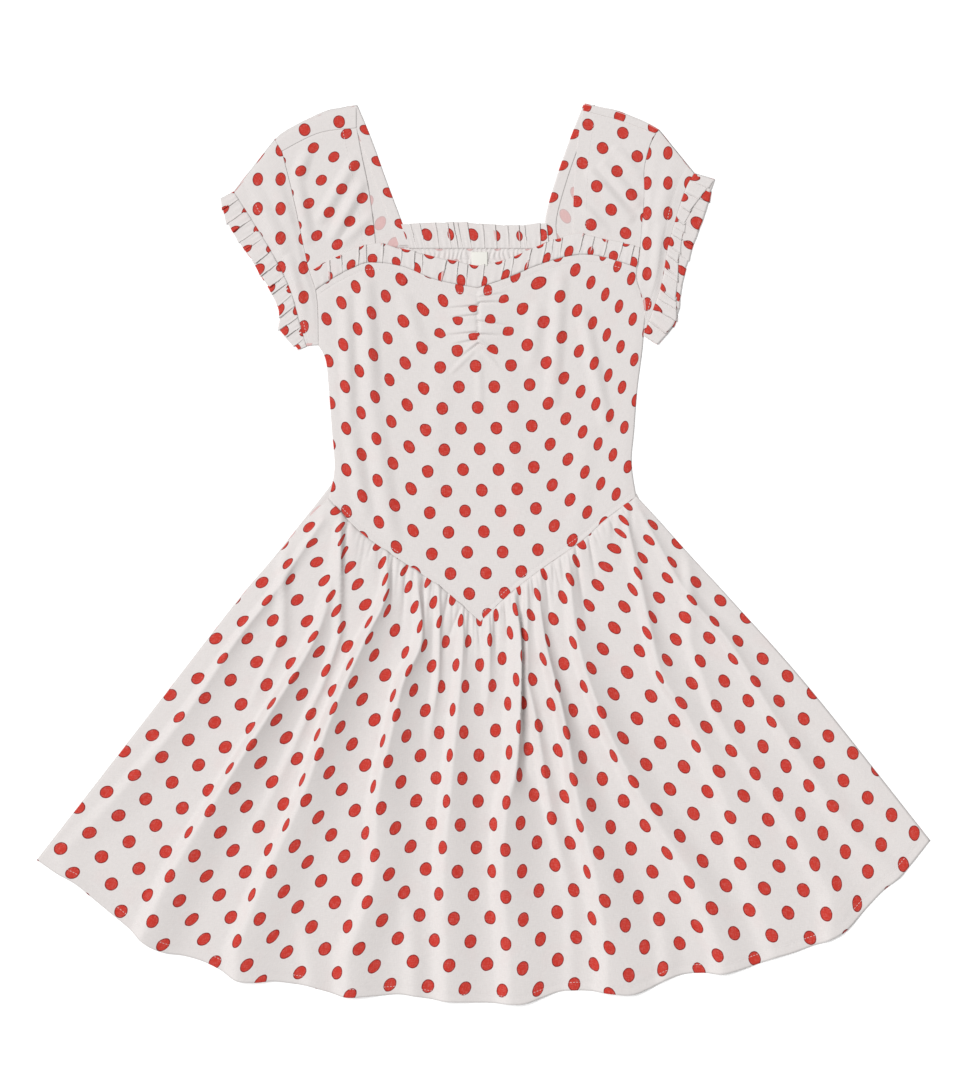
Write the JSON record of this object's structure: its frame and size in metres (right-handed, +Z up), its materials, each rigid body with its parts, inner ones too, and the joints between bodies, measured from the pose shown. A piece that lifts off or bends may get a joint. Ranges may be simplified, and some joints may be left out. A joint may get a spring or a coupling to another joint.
{
  "type": "mini dress",
  "caption": "Short-sleeved mini dress laid flat, with frilled square neck, pointed waist seam and full gathered skirt.",
  "frame": {"origin": "under the middle of the laid dress, on the surface that it lies on", "axes": "+Z up out of the front of the dress, +Y from hem to shoulders, +X to the right of the picture"},
  "size_m": [0.873, 0.8821, 0.0151],
  "materials": {
    "dotted_cloth": "plain-woven off-white cloth printed with red dots, matt",
    "label_tape": "smooth woven tape, blank"
  },
  "bodies": {
    "root": {"front_skirt": "dotted_cloth", "back_skirt": "dotted_cloth", "front_bodice": "dotted_cloth", "back_bodice": "dotted_cloth", "front_neck_frill": "dotted_cloth", "back_neck_frill": "dotted_cloth", "left_front_strap": "dotted_cloth", "right_front_strap": "dotted_cloth", "left_back_strap": "dotted_cloth", "right_back_strap": "dotted_cloth", "left_sleeve": "dotted_cloth", "right_sleeve": "dotted_cloth", "left_cuff_frill": "dotted_cloth", "right_cuff_frill": "dotted_cloth", "neck_label": "label_tape"}
  },
  "joints": []
}
